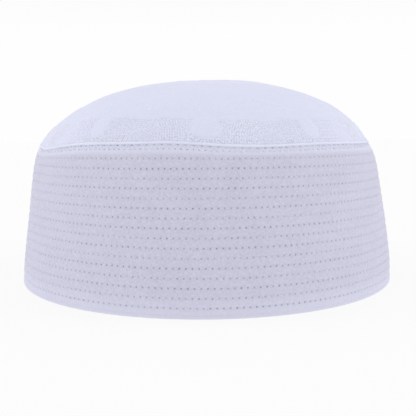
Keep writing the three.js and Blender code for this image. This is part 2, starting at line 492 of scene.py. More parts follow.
@dataclass(frozen=True)
class WovenCotton:
    """Plain-woven cotton, brightened with a bluish white and left matte.

    The eye gets a soft lavender white without gloss, a faint sheen of loose fibre where the cloth
    turns away, and a fine uneven grain.
    """

    name: str
    colour: str
    shade: str
    grain_bump: float = 0.22
    slub_contrast: float = 0.9
    roughness: float = 0.92
    sheen: float = 0.12

    def surface(self, tree: bpy.types.NodeTree) -> tuple[bpy.types.NodeSocket, bpy.types.NodeSocket]:
        """Adds the cloth's own colour and relief; each finish has its own.

        Args:
            tree: The material's tree.

        Returns:
            The sockets of the colour and of the normal.
        """
        # Creases about 1.4 mm wide and 2 mm high.
        bump = add_node(
            tree,
            "ShaderNodeBump",
            {
                "Strength": self.grain_bump,
                "Distance": 0.0004,
                "Height": self.grain(tree, (0.7, 0.5)),
            },
        )
        return self.mottled(tree), bump.outputs[0]

    def material(self) -> bpy.types.Material:
        """Makes the material.

        Returns:
            The material, with its shader's constants and its surface.
        """
        material = bpy.data.materials.new(self.name)
        material.use_nodes = True
        tree = material.node_tree
        tree.nodes.clear()
        colour, normal = self.surface(tree)
        shader = add_node(
            tree,
            "ShaderNodeBsdfPrincipled",
            {
                "Base Color": colour,
                "Normal": normal,
                "Roughness": self.roughness,
                "IOR": 1.5,
                "Specular IOR Level": 0.25,
                "Sheen Weight": self.sheen,
                "Sheen Roughness": 0.5,
            },
        )
        add_node(tree, "ShaderNodeOutputMaterial", {"Surface": shader.outputs["BSDF"]})
        return material

    def mottled(self, tree: bpy.types.NodeTree) -> bpy.types.NodeSocket:
        """Adds the cloth's colour, with slow faint changes from washing and handling.

        Args:
            tree: The material's tree.

        Returns:
            The colour's socket.
        """
        where = add_node(tree, "ShaderNodeTexCoord")
        # Patches about 12 mm across.
        patches = add_node(
            tree,
            "ShaderNodeTexNoise",
            {"Vector": where.outputs["Object"], "Scale": 85.0, "Detail": 3.0, "Roughness": 0.6},
        )
        amount = add_node(
            tree,
            "ShaderNodeMapRange",
            {"Value": patches.outputs["Fac"], "From Min": 0.3, "From Max": 0.75, "To Max": 0.10},
        )
        # The threads' own unevenness.
        slubs = add_node(
            tree,
            "ShaderNodeTexNoise",
            {
                "Vector": where.outputs["Object"],
                "Scale": DRAWN_GRAIN,
                "Detail": 2.0,
                "Roughness": 0.7,
            },
        )
        both = add_node(
            tree,
            "ShaderNodeMath",
            {0: slubs.outputs["Fac"], 1: self.slub_contrast, 2: amount},
            operation="MULTIPLY_ADD",
        )
        mixed = add_node(
            tree,
            "ShaderNodeMix",
            {"Factor": both, 6: linear(self.colour), 7: linear(self.shade)},
            data_type="RGBA",
        )
        return mixed.outputs[2]

    def grain(
        self, tree: bpy.types.NodeTree, stretch: tuple[float, float] | None = None
    ) -> bpy.types.NodeSocket:
        """Adds the height of the weave's uneven grain.

        Args:
            tree: The material's tree.
            stretch: How often the grain changes per millimetre, across and up the cloth, or None
                for an even grain where the weave map runs together.

        Returns:
            The height's socket, from 0 to 1.
        """
        if stretch:
            cloth = add_node(tree, "ShaderNodeUVMap", uv_map=WEAVE_MAP)
            scaled = add_node(
                tree, "ShaderNodeVectorMath", {0: cloth, 1: (*stretch, 1.0)}, operation="MULTIPLY"
            )
            where, scale = scaled, 1.0
        else:
            where, scale = add_node(tree, "ShaderNodeTexCoord").outputs["Object"], DRAWN_GRAIN
        noise = add_node(
            tree,
            "ShaderNodeTexNoise",
            {"Vector": where, "Scale": scale, "Detail": 2.0, "Roughness": 0.55},
        )
        return noise.outputs["Fac"]


@dataclass(frozen=True)
class QuiltedCotton(WovenCotton):
    """Woven cotton over thin wadding, quilted by machine in level rows.

    The eye gets soft ridges between the rows, a needle hole darkened with painted shade at
    each end of every stitch, and faint upright puckers where the thread pulls the cloth in.
    """

    stitch: float = 2.5
    row_pitch: float = 3.69
    # A needle 0.9 mm thick leaves a dimple about 1 mm wide.
    hole_radius: float = 0.52
    # Painted shade in the needle holes, darkest in their middles.
    hole_shade_colour: str = "#6E6E84"
    edge_colour: str = "#DCDDEF"
    edging: tuple[float, float] = (60.2, 62.6)
    # How high painted light from the floor reaches up the band, and how strongly it pales it.
    bounce_light_height: float = 9.0
    bounce_light_share: float = 0.65

    def surface(self, tree: bpy.types.NodeTree) -> tuple[bpy.types.NodeSocket, bpy.types.NodeSocket]:
        """Adds the colour and relief, with the needle holes of the rows.

        Args:
            tree: The material's tree.

        Returns:
            The sockets of the colour and of the normal.
        """
        # Millimetres from the nearest needle hole, which lie at the map's whole numbers.
        spot = add_node(tree, "ShaderNodeUVMap", uv_map=STITCH_MAP)
        half = (0.5, 0.5, 0)
        size = (self.stitch, self.row_pitch, 0)
        for step, by in (("ADD", half), ("FRACTION", half), ("SUBTRACT", half), ("MULTIPLY", size)):
            spot = add_node(tree, "ShaderNodeVectorMath", {0: spot, 1: by}, operation=step)
        away = add_node(tree, "ShaderNodeVectorMath", {0: spot}, operation="LENGTH")
        rim, floor = self.hole_radius, self.hole_radius * 0.35
        # Painted shade in each needle hole, a dot as wide as the dimple.
        hole = add_node(
            tree,
            "ShaderNodeMapRange",
            {"Value": away.outputs["Value"], "From Min": rim, "From Max": floor},
            interpolation_type="SMOOTHSTEP",
        )
        # How strong the painted shade of each row is, kept with the mesh's points.
        pull = add_node(tree, "ShaderNodeAttribute", attribute_name="pull")
        axes = add_node(tree, "ShaderNodeSeparateXYZ", {0: spot})
        side = add_node(tree, "ShaderNodeMath", {0: axes.outputs["Y"]}, operation="ABSOLUTE")
        # Painted shade along the row's valley: a faint grey line about 0.5 mm to each side of the
        # row.
        line = add_node(
            tree,
            "ShaderNodeMapRange",
            {"Value": side, "From Min": 0.6, "From Max": 0.1, "To Max": 0.05},
            interpolation_type="SMOOTHSTEP",
        )
        shade_marks = add_node(tree, "ShaderNodeMath", {0: line, 1: hole}, operation="ADD")
        depth = add_node(
            tree,
            "ShaderNodeMath",
            {0: shade_marks, 1: pull.outputs["Fac"]},
            operation="MULTIPLY",
            use_clamp=True,
        )
        # Close overcasting in bleached thread pales the cloth towards the top edge.
        cloth = add_node(tree, "ShaderNodeUVMap", uv_map=WEAVE_MAP)
        height = add_node(tree, "ShaderNodeSeparateXYZ", {0: cloth})
        edging = add_node(
            tree,
            "ShaderNodeMapRange",
            {"Value": height.outputs["Y"], "From Min": self.edging[0], "From Max": self.edging[1]},
            interpolation_type="SMOOTHSTEP",
        )
        # Painted light from the floor pales the band towards the rim, over the folded hem.
        hem = add_node(
            tree,
            "ShaderNodeMapRange",
            {
                "Value": height.outputs["Y"],
                "From Min": self.bounce_light_height,
                "From Max": 0.0,
                "To Max": self.bounce_light_share,
            },
        )
        # Takes the paler of the top edge and the painted light at the rim.
        paler = add_node(tree, "ShaderNodeMath", {0: edging, 1: hem}, operation="MAXIMUM")
        edged = add_node(
            tree,
            "ShaderNodeMix",
            {"Factor": paler, 6: self.mottled(tree), 7: linear(self.edge_colour)},
            data_type="RGBA",
        )
        # Mixes the painted shade of the holes and the rows into the cloth's colour.
        colour = add_node(
            tree,
            "ShaderNodeMix",
            {"Factor": depth, 6: edged.outputs[2], 7: linear(self.hole_shade_colour)},
            data_type="RGBA",
        )
        # The puckers are three times as high as wide.
        bump = add_node(
            tree,
            "ShaderNodeBump",
            {
                "Strength": self.grain_bump,
                "Distance": 0.0006,
                "Height": self.grain(tree, (0.9, 0.28)),
            },
        )
        # The weave, too fine to show at its real 0.35 mm, is drawn about 0.8 mm wide.
        weave = add_node(
            tree,
            "ShaderNodeBump",
            {
                "Strength": self.grain_bump,
                "Distance": 0.0003,
                "Height": self.grain(tree, (1.3, 1.3)),
                "Normal": bump,
            },
        )
        return colour.outputs[2], weave.outputs[0]


@dataclass(frozen=True)
class EmbroideredCotton(WovenCotton):
    """Woven cotton, embroidered by machine in its own white.

    The eye gets a smooth pale cloth that turns speckled where short stitches and their needle
    holes, darkened with painted shade, are crowded together.
    """

    hole_spacing: float = 1.15
    hole_shade_share: float = 0.22
    hole_shade_colour: str = "#7C7C94"
    fill_shade: float = 0.055

    def surface(self, tree: bpy.types.NodeTree) -> tuple[bpy.types.NodeSocket, bpy.types.NodeSocket]:
        """Adds the colour and relief, with the needle holes of the embroidery.

        Args:
            tree: The material's tree.

        Returns:
            The sockets of the colour and of the normal.
        """
        cloth = add_node(tree, "ShaderNodeUVMap", uv_map=WEAVE_MAP)
        cells = add_node(
            tree,
            "ShaderNodeTexVoronoi",
            {"Vector": cloth, "Scale": 1 / self.hole_spacing, "Randomness": 0.75},
            voronoi_dimensions="2D",
        )
        # The painted shade in each hole is about 0.3 mm wide at its floor and 0.9 mm at its rim.
        hole_shade_dots = add_node(
            tree,
            "ShaderNodeMapRange",
            {
                "Value": cells.outputs["Distance"],
                "From Min": 0.38,
                "From Max": 0.12,
                "To Max": self.hole_shade_share,
            },
            interpolation_type="SMOOTHSTEP",
        )
        # Where the painted hole shade falls on the crown, and how strongly.
        zone = add_node(tree, "ShaderNodeAttribute", attribute_name="stitched")
        holes = add_node(
            tree, "ShaderNodeMath", {0: hole_shade_dots, 1: zone.outputs["Fac"]}, operation="MULTIPLY"
        )
        # The discs are filled with close parallel stitches, which lie in each other's shade.
        filled = add_node(tree, "ShaderNodeAttribute", attribute_name="filled")
        painted_shade = add_node(
            tree,
            "ShaderNodeMath",
            {0: filled.outputs["Fac"], 1: self.fill_shade, 2: holes},
            operation="MULTIPLY_ADD",
            use_clamp=True,
        )
        # Mixes the painted shade of the holes and of the discs into the cloth's colour.
        colour = add_node(
            tree,
            "ShaderNodeMix",
            {"Factor": painted_shade, 6: self.mottled(tree), 7: linear(self.hole_shade_colour)},
            data_type="RGBA",
        )
        sunk = add_node(tree, "ShaderNodeMath", {0: 1.0, 1: holes}, operation="SUBTRACT")
        pits = add_node(
            tree, "ShaderNodeBump", {"Strength": 0.6, "Distance": 0.0005, "Height": sunk}
        )
        weave = add_node(
            tree,
            "ShaderNodeBump",
            {
                "Strength": self.grain_bump,
                "Distance": 0.0004,
                "Height": self.grain(tree),
                "Normal": pits,
            },
        )
        return colour.outputs[2], weave.outputs[0]


@dataclass(frozen=True)
class RolledCotton(WovenCotton):
    """Woven cotton rolled over the seam, overcast and pressed.

    The eye gets a clean pale ridge with faint soft creases.
    """


@dataclass(frozen=True)
class CottonThread(WovenCotton):
    """Spun cotton sewing thread, mercerised or bleached.

    The eye gets short lines a touch paler and smoother than the cloth that they lie on.
    """

    def surface(self, tree: bpy.types.NodeTree) -> tuple[bpy.types.NodeSocket, bpy.types.NodeSocket]:
        """Adds the colour and relief, smooth but for the twist.

        Args:
            tree: The material's tree.

        Returns:
            The sockets of the colour and of the normal.
        """
        where = add_node(tree, "ShaderNodeTexCoord")
        # The twist of the thread, about 0.5 mm to a turn.
        twist = add_node(
            tree,
            "ShaderNodeTexNoise",
            {"Vector": where.outputs["Object"], "Scale": 2000.0, "Detail": 1.0},
        )
        bump = add_node(
            tree,
            "ShaderNodeBump",
            {"Strength": 0.2, "Distance": 0.0001, "Height": twist.outputs["Fac"]},
        )
        return self.mottled(tree), bump.outputs[0]


# Thread, placed by Geometry Nodes


@dataclass
class Guides:
    """Where the stitches lie: middle, direction, outward direction and length, in metres."""

    middle: np.ndarray
    along: np.ndarray
    out: np.ndarray
    length: np.ndarray

    @classmethod
    def between(cls, start: np.ndarray, end: np.ndarray, out: np.ndarray) -> "Guides":
        """Lays one stitch between each pair of points.

        Args:
            start: Where the stitches start.
            end: Where they end.
            out: Directions away from the cloth.

        Returns:
            The guides.
        """
        span = end - start
        length = np.linalg.norm(span, axis=-1)
        return cls((start + end) / 2, span / length[:, None], out, length)

    @classmethod
    def gathered(cls, sets: "list[Guides]") -> "Guides":
        """Returns several sets of guides as one."""
        parts = zip(*[vars(one).values() for one in sets])
        return cls(*[np.concatenate(part) for part in parts])


@dataclass(frozen=True)
class Stitching:
    """Short stitches of thread of one thickness.

    Args:
        thread: Thickness of the thread, in millimetres.
        arch: How far the middle of a stitch stands above its ends, in millimetres.
        variation: How far stitches turn aside, in radians.
        seed: Seed of the variation.
    """

    thread: float
    arch: float
    variation: float
    seed: int = SEED

    def tree(self) -> bpy.types.NodeTree:
        """Builds the node tree that lays a stitch on each guide point.

        Returns:
            The tree, with named inputs for the sizes.
        """
        tree = bpy.data.node_groups.new("lay_stitches", "GeometryNodeTree")
        kinds = {"Geometry": "Geometry", "Thread width": "Float", "Arch": "Float"}
        kinds |= {"Variation": "Float", "Seed": "Int", "Finish": "Material"}
        for label, kind in kinds.items():
            tree.interface.new_socket(label, in_out="INPUT", socket_type="NodeSocket" + kind)
        tree.interface.new_socket("Geometry", in_out="OUTPUT", socket_type="NodeSocketGeometry")
        given = add_node(tree, "NodeGroupInput")
        # One stitch, a unit long, which each guide then stretches to its own length.
        line = add_node(
            tree, "GeometryNodeCurvePrimitiveLine", {"Start": (-0.5, 0, 0), "End": (0.5, 0, 0)}
        )
        spaced = add_node(tree, "GeometryNodeResampleCurve", {"Curve": line, "Count": 5})
        place = add_node(tree, "GeometryNodeInputPosition")
        axes = add_node(tree, "ShaderNodeSeparateXYZ", {0: place})
        square = add_node(
            tree,
            "ShaderNodeMath",
            {0: axes.outputs["X"], 1: axes.outputs["X"]},
            operation="MULTIPLY",
        )
        # The arch falls from 1 in the middle to 0 at the ends.
        drop = add_node(
            tree, "ShaderNodeMath", {0: square, 1: -4.0, 2: 1.0}, operation="MULTIPLY_ADD"
        )
        lift = add_node(
            tree, "ShaderNodeMath", {0: drop, 1: given.outputs["Arch"]}, operation="MULTIPLY"
        )
        offset = add_node(tree, "ShaderNodeCombineXYZ", {"Z": lift})
        arched = add_node(tree, "GeometryNodeSetPosition", {"Geometry": spaced, "Offset": offset})
        radius = add_node(
            tree, "ShaderNodeMath", {0: given.outputs["Thread width"], 1: 0.5}, operation="MULTIPLY"
        )
        ring = add_node(
            tree, "GeometryNodeCurvePrimitiveCircle", {"Resolution": 4, "Radius": radius}
        )
        thread = add_node(
            tree,
            "GeometryNodeCurveToMesh",
            {"Curve": arched, "Profile Curve": ring, "Fill Caps": True},
        )
        kept = {"out": "FLOAT_VECTOR", "along": "FLOAT_VECTOR", "length": "FLOAT"}
        out, along, length = (
            add_node(tree, "GeometryNodeInputNamedAttribute", {"Name": label}, data_type=kind)
            for label, kind in kept.items()
        )
        facing = add_node(
            tree,
            "FunctionNodeAxesToRotation",
            {0: out, 1: along},
            primary_axis="Z",
            secondary_axis="X",
        )
        lowest = add_node(
            tree, "ShaderNodeMath", {0: given.outputs["Variation"], 1: -1.0}, operation="MULTIPLY"
        )
        aside = add_node(
            tree,
            "FunctionNodeRandomValue",
            {2: lowest, 3: given.outputs["Variation"], "Seed": given.outputs["Seed"]},
            data_type="FLOAT",
        )
        turned = add_node(tree, "ShaderNodeCombineXYZ", {"Z": aside.outputs[1]})
        twist = add_node(tree, "FunctionNodeEulerToRotation", {0: turned})
        rotation = add_node(
            tree, "FunctionNodeRotateRotation", {0: facing, 1: twist}, rotation_space="LOCAL"
        )
        size = add_node(tree, "ShaderNodeCombineXYZ", {"X": length, "Y": 1.0, "Z": 1.0})
        laid = add_node(
            tree,
            "GeometryNodeInstanceOnPoints",
            {
                "Points": given.outputs["Geometry"],
                "Instance": thread,
                "Rotation": rotation,
                "Scale": size,
            },
        )
        real = add_node(tree, "GeometryNodeRealizeInstances", {0: laid})
        dressed = add_node(
            tree, "GeometryNodeSetMaterial", {"Geometry": real, "Material": given.outputs["Finish"]}
        )
        add_node(tree, "NodeGroupOutput", {0: dressed})
        return tree

    def lay(self, name: str, guides: Guides, material: bpy.types.Material) -> bpy.types.Object:
        """Lays the stitches and turns them into one plain mesh.

        Args:
            name: The piece's name.
            guides: Where they lie.
            material: The thread's material.

        Returns:
            The finished piece.
        """
        points = bpy.data.meshes.new(name + "_guides")
        points.from_pydata(guides.middle.tolist(), [], [])
        for label, values in (("along", guides.along), ("out", guides.out)):
            layer = points.attributes.new(label, "FLOAT_VECTOR", "POINT")
            layer.data.foreach_set("vector", values.ravel())
        points.attributes.new("length", "FLOAT", "POINT").data.foreach_set("value", guides.length)
        carrier = bpy.data.objects.new(name + "_guides", points)
        bpy.context.scene.collection.objects.link(carrier)
        tree = self.tree()
        modifier = carrier.modifiers.new("stitches", "NODES")
        modifier.node_group = tree
        values = {
            "Thread width": self.thread * MM,
            "Arch": self.arch * MM,
            "Variation": self.variation,
            "Seed": self.seed,
            "Finish": material,
        }
        for item in tree.interface.items_tree:
            if item.in_out == "INPUT" and item.name in values:
                modifier[item.identifier] = values[item.name]
        bpy.context.view_layer.update()
        depsgraph = bpy.context.evaluated_depsgraph_get()
        mesh = bpy.data.meshes.new_from_object(carrier.evaluated_get(depsgraph))
        carrier.modifiers.remove(modifier)
        bpy.data.objects.remove(carrier)
        bpy.data.node_groups.remove(tree)
        mesh.name = name
        return finished(name, mesh, material)


# The sewn pieces


@dataclass
class Band:
    """The tall band, quilted in level rows between a folded hem and a stitched top edge."""

    form: CapForm
    stitches_round: int = 225
    columns_each: int = 3
    rows: int = 16
    lowest_row: float = 4.2
    highest_row_drop: float = 4.45
    edge_row_rise: float = 0.1
    edge_row_pitch: float = 1.65
    # The share of the band's height up to which the rows run level.
    level_up_to: float = 0.9
    edge_holes_round: int = 165
    # The rounding of the rim, and the height and depth of the crease where the hem's fold ends.
    hem_round: float = 0.8
    hem_fold: float = 1.45
    hem_crease: float = 0.16
    # What needle, thread and wadding do to the cloth, and how deep the stitches' ends sink.
    needle_dent: float = 0.16
    thread_pull: float = 0.06
    unevenness: float = 0.09
    thread_sunk: float = 0.05
    # How strong the painted hole shade is on the cap's sides, as a share.
    side_hole_shade: float = 0.4
    row_stitching: Stitching = Stitching(0.34, 0.10, 0.03)
    edge_stitching: Stitching = Stitching(0.22, 0.04, 0.05)

    @property
    def columns(self) -> int:
        """Points in one ring."""
        return self.stitches_round * self.columns_each

    @property
    def pitch(self) -> float:
        """Height from one row to the next."""
        span = self.form.band_height - self.lowest_row - self.highest_row_drop
        return span / (self.rows - 1)

    def row_heights(self) -> np.ndarray:
        """Lists the heights of all rows.

        Returns:
            Heights in millimetres, with the two rows of the top edge last.
        """
        rows = self.lowest_row + np.arange(self.rows) * self.pitch
        top = self.form.band_height + self.edge_row_rise
        return np.concatenate([rows, [top - self.edge_row_pitch, top]])

    def row_shift(self, row: float | np.ndarray) -> float | np.ndarray:
        """Returns how far a row's stitches are shifted round the band, in stitches."""
        return (row * 0.37) % 1 - 0.5

    def look(self, row: int) -> RowLook:
        """Tells how a row looks; every second one is pulled tighter.

        Args:
            row: The row's number from the foot.

        Returns:
            Its look.
        """
        if row >= self.rows:
            return (Row.LOW_EDGE, Row.HIGH_EDGE)[row - self.rows].value
        return (Row.TIGHT, Row.LOOSE)[row % 2].value

    def valley(self, row: int, turn: np.ndarray) -> np.ndarray:
        """Returns the depth of a row's valley round the band.

        Args:
            row: The row's number from the foot.
            turn: Turns round the cap, in radians.

        Returns:
            Depths in millimetres.
        """
        if not 0 <= row < self.rows + 2:
            return np.zeros(len(turn))
        wander = np.sin(5 * turn + row * 2.3) + np.sin(11 * turn + row * 1.1)
        wander += np.sin(23 * turn - row)
        return self.look(row).valley * (1 + 0.11 * wander)

    def levels(self) -> list[tuple[float, float, float, float]]:
        """Lists the rings of the outer face.

        Returns:
            For each ring its height, how far it stands back, its place on the stitch map's upright
            axis in rows, and the row whose valley shapes it, with the share of the way to the next.
        """
        heights = self.row_heights()
        rings = []
        for angle in np.radians([-90, -65, -40, -20, 0]):
            back = self.hem_round * (1 - math.cos(angle))
            rings.append((self.hem_round * (1 + math.sin(angle)), back, -0.5, -1.0))
        fold = self.hem_fold
        for level, back in ((fold - 0.3, 0.0), (fold, self.hem_crease), (fold + 0.3, 0.0)):
            rings.append((level, back, -0.5, -1.0))
        rings += [(2.6, -0.05, -0.43, -0.4), (3.3, 0.0, -0.24, -0.25), (3.85, 0.0, -0.095, -0.1)]
        # The rings lie close beside each row and wider between two of them.
        for row in range(self.rows):
            gap = heights[row + 1] - heights[row]
            steps = (0, 0.35, 0.9, self.pitch / 2, self.pitch - 0.9, self.pitch - 0.35)
            if row == self.rows - 1:
                steps = (0, 0.35, 0.8, 1.3, 1.8, 2.35)
            for step in steps:
                number = row + min(step / self.pitch, 0.49 if row == self.rows - 1 else 1)
                rings.append((heights[row] + step, 0.0, number, row + step / gap))
        low, high = heights[-2:]
        edge = [(low, 0, 0), (low + 0.4, 0.11, 0.24), (low + 0.8, 0.22, 0.49)]
        edge += [(low + 0.9, 0.78, 0.55), (high - 0.35, 0.9, 0.79), (high, 1, 1)]
        edge += [(high + 0.25, 1.08, 1.3)]
        for level, place, number in edge:
            rings.append((level, 0.0, self.rows + place, self.rows + number))
        rings.append((high + 0.6, -0.05, self.rows + 1.3, self.rows + 2))
        return rings

    def relief(self, number: float, turn: np.ndarray, column: np.ndarray) -> np.ndarray:
        """Works out how far the quilted face stands out from the smooth one.

        Args:
            number: The ring's place in rows.
            turn: Turns round the cap, in radians.
            column: The columns' numbers.

        Returns:
            Heights in millimetres, below zero in the valleys.
        """
        if number <= -1 or number >= self.rows + 2:
            return np.zeros(len(turn))
        row = math.floor(number)
        share = number - row
        puff = abs(math.sin(math.pi * share)) ** 0.9
        if row < 0:
            puff = min(1.0, (1 - share) * 2)
        depth = self.valley(row, turn) * (1 - share) + self.valley(row + 1, turn) * share
        if row >= self.rows:
            puff *= 0.6
        out = -depth * (1 - puff)
        near = min(share, 1 - share) * self.pitch
        pulled = np.cos(np.pi * column / self.columns_each) ** 2
        out = out - self.thread_pull * pulled * math.exp(-near)
        if near < 0.01:
            out = out - self.needle_dent * (column % self.columns_each == 0)
        return out

    def painted_hole_shade(self, row: int) -> np.ndarray:
        """Works out the strength of a row's painted hole shade; it is weaker on the cap's sides.

        Args:
            row: The row's number from the foot.

        Returns:
            One share for each column, the same over one stitch.
        """
        generator = np.random.default_rng(SEED + row)
        turn = np.arange(self.stitches_round) * 2 * np.pi / self.stitches_round
        slow = np.sin(4 * turn + row) + np.sin(9 * turn + 2.1 * row) + np.sin(17 * turn - row)
        facing = smoothstep(np.abs(np.cos(turn)), 0.5, 0.88)
        each = generator.uniform(0.0, 1.0, self.stitches_round)
        look = self.look(row)
        share = look.shade_strength * (look.mean + look.drift * slow + look.scatter * (each - 0.5))
        shown = self.side_hole_shade + (1 - self.side_hole_shade) * facing
        return np.repeat(np.clip(share, 0.02, 0.8) * shown, self.columns_each)

    def uneven(self, level: np.ndarray, turn: np.ndarray) -> np.ndarray:
        """Works out the slow unevenness of the padded wall, which ends at the hem and the edge.

        Args:
            level: Heights before the waves.
            turn: Turns round the cap, in radians.

        Returns:
            Heights over the smooth face, in millimetres.
        """
        fade = np.sin(np.pi * np.clip(level / self.form.band_height, 0, 1)) ** 0.5
        wave = np.sin(7 * turn + level * 0.11) + 0.8 * np.sin(12 * turn - level * 0.17 + 1.3)
        return self.unevenness * fade * (wave + 0.7 * np.sin(19 * turn + level * 0.23 + 0.4))

    def settled(self, level: float, turn: np.ndarray) -> np.ndarray:
        """Finds where on the waving face a row runs level, as all rows do except close to the seam.

        Args:
            level: The row's height.
            turn: Turns round the cap, in radians.

        Returns:
            Heights before the waves, for the form's oval.
        """
        top = self.form.band_height
        wave = self.form.seam_wave * hump_sum(SEAM_HUMPS, turn)
        wanted = level + wave * smoothstep(level, self.level_up_to * top, top)
        found = wanted
        for _ in range(6):
            found = wanted - wave * smoothstep(found, self.form.level_share * top, top)
        return found

    def on_face(self, turn: np.ndarray, level: float, lift: float) -> np.ndarray:
        """Returns points in metres, lifted by millimetres from the band's smooth face."""
        found = self.settled(level, turn)
        return self.form.oval(self.form.band_face(found) + lift, turn, found, False)

    def turns(self, number: float) -> np.ndarray:
        """Works out where the columns of a ring stand, shifted as the rows' stitches are.

        Args:
            number: The ring's place in rows.

        Returns:
            Turns round the cap, in radians.
        """
        rows = np.arange(-2, self.rows + 3)
        shift = np.interp(number, rows, self.row_shift(rows))
        stitch = np.arange(self.columns) / self.columns_each + shift
        return stitch * 2 * np.pi / self.stitches_round

    def mesh(self) -> bpy.types.Mesh:
        """Builds the band's closed mesh: outer face, top edge, inner face and hem.

        Returns:
            The mesh with its maps and its point values.
        """
        form = self.form
        column = np.arange(self.columns)
        edge = np.arange(self.columns + 1) / self.columns_each
        stitch_length = 2 * np.pi * form.rim_half_width / self.stitches_round
        edge_share = self.edge_holes_round / self.stitches_round
        shade_strength = [self.painted_hole_shade(row) for row in range(self.rows + 2)]
        rings = Rings(closing=2.0)
        for level, back, row_place, number in self.levels():
            turn = self.turns(number)
            found = self.settled(level, turn)
            lift = self.relief(number, turn, column) + self.uneven(found, turn) - back
            points = form.oval(form.band_face(found) + lift, turn, found, False)
            factor = edge_share if row_place > self.rows + 0.5 else 1
            row = round(number)
            # Rings on a row carry the strength of its painted hole shade; the others carry none.
            close = 0 <= row and abs(number - row) < 0.3
            pull = shade_strength[min(row, self.rows + 1)] if close else 0.0
            ups = {STITCH_MAP: (factor, row_place), WEAVE_MAP: (stitch_length, level)}
            rings.lay(points, edge, ups, pull=pull)
        turn = self.turns(self.rows + 2)
        inner = [(level, 0.0) for level in np.linspace(form.band_height - 3, 0.5, 12)]
        for level, past in [(form.band_height + 0.7, 0.0), *inner, (0.0, 0.5)]:
            half = np.full(len(turn), float(form.band_inside(level)) + past)
            ups = {STITCH_MAP: (1, self.rows + 1.5), WEAVE_MAP: (stitch_length, 140 - level)}
            rings.lay(form.oval(half, turn, level, False), edge, ups, pull=0.0)
        return rings.mesh("quilted_band")

    def face_point(self, turn: np.ndarray, row: int, lift: float) -> np.ndarray:
        """Finds places on the bottom of a row's valley.

        Args:
            turn: Turns round the cap, in radians.
            row: The row's number from the foot.
            lift: Height over the valley, in millimetres.

        Returns:
            Points in metres.
        """
        level = float(self.row_heights()[row])
        found = self.settled(level, turn)
        depth = self.relief(float(row), turn, np.full(len(turn), 1)) + self.uneven(found, turn)
        return self.on_face(turn, level, depth + lift)

    def outward(self, turn: np.ndarray, level: float) -> np.ndarray:
        """Returns directions away from the band's smooth face.

        Args:
            turn: Turns round the cap, in radians.
            level: The height.

        Returns:
            Unit vectors.
        """
        here = self.on_face(turn, level, 0.0)
        beside = self.on_face(turn + 0.01, level, 0.0) - here
        normal = np.cross(beside, here - self.on_face(turn, level - 1, 0.0))
        return normal / np.linalg.norm(normal, axis=-1, keepdims=True)

    def row_guides(self) -> Guides:
        """Lays one stitch between each needle hole and the next, in every level row.

        Returns:
            The guides.
        """
        sets = []
        step = 2 * np.pi / self.stitches_round
        for row, height in enumerate(self.row_heights()[: self.rows]):
            hole = (np.arange(self.stitches_round) + self.row_shift(row)) * step
            start, end = (
                self.face_point(hole + share * step, row, -self.thread_sunk)
                for share in (0.14, 0.86)
            )
            sets.append(Guides.between(start, end, self.outward(hole + step / 2, float(height))))
        return Guides.gathered(sets)

    def edge_guides(self) -> Guides:
        """Lays the overcast stitches that zigzag between the two rows of the top edge.

        Returns:
            The guides.
        """
        low, high = self.row_heights()[-2:]
        step = 2 * np.pi / self.edge_holes_round
        shift = self.row_shift(self.rows + 1) * 2 * np.pi / self.stitches_round
        start = np.arange(self.edge_holes_round) * step + shift
        ceiling = self.on_face(start + 0.5 * step, high + 0.2, 0.05)
        floor = self.on_face(start + 0.05 * step, low - 0.1, 0.05)
        beyond = self.on_face(start + 0.95 * step, low - 0.1, 0.05)
        out = self.outward(start, float(low))
        ways = ((floor, ceiling), (ceiling, beyond))
        return Guides.gathered([Guides.between(*way, out) for way in ways])

    def build(
        self, cloth: QuiltedCotton, thread: CottonThread, overcast: CottonThread
    ) -> list[bpy.types.Object]:
        """Builds and dresses the band and its stitches.

        Args:
            cloth: The band's finish.
            thread: The finish of the stitches in the rows.
            overcast: The finish of the stitches along the top edge.

        Returns:
            The pieces.
        """
        band = finished("quilted_band", self.mesh(), cloth.material())
        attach(band, BODY)
        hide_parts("band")
        rows = self.row_stitching.lay("quilting_stitches", self.row_guides(), thread.material())
        edge = self.edge_stitching.lay("edge_stitches", self.edge_guides(), overcast.material())
        for piece in (rows, edge):
            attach(piece, BODY)
        return [band, rows, edge]


@dataclass
class Welt:
    """The thin rolled ridge along the seam."""

    form: CapForm
    columns: int = 720
    sides: int = 14
    outward: float = 0.35
    upward: float = -0.1
    width: float = 1.3
    thickness: float = 1.05
    side_length: float = 0.35

    def mesh(self) -> bpy.types.Mesh:
        """Builds the roll, a little uneven as hand-turned cloth is.

        Returns:
            The mesh.
        """
        form = self.form
        turn = np.arange(self.columns) / self.columns * 2 * np.pi
        edge = np.arange(self.columns + 1) / self.columns * 2 * np.pi * form.welt_half_width
        plump = 1 + 0.05 * np.sin(9 * turn) + 0.05 * np.sin(31 * turn + 1) + 0.04 * np.sin(53 * turn)
        rings = Rings(closing=self.side_length)
        for side in range(self.sides):
            angle = 2 * math.pi * side / self.sides
            half = form.welt_half_width + self.outward + self.width / 2 * math.cos(angle) * plump
            level = form.welt_height + self.upward + self.thickness / 2 * math.sin(angle) * plump
            ups = {WEAVE_MAP: (1, side * self.side_length)}
            rings.lay(form.oval(half, turn, level, False), edge, ups)
        return rings.mesh("rolled_welt")

    def build(self, cloth: RolledCotton) -> list[bpy.types.Object]:
        """Builds and dresses the welt.

        Args:
            cloth: Its finish.

        Returns:
            The piece.
        """
        welt = finished("rolled_welt", self.mesh(), cloth.material())
        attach(welt, BODY)
        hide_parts("seam_welt")
        return [welt]


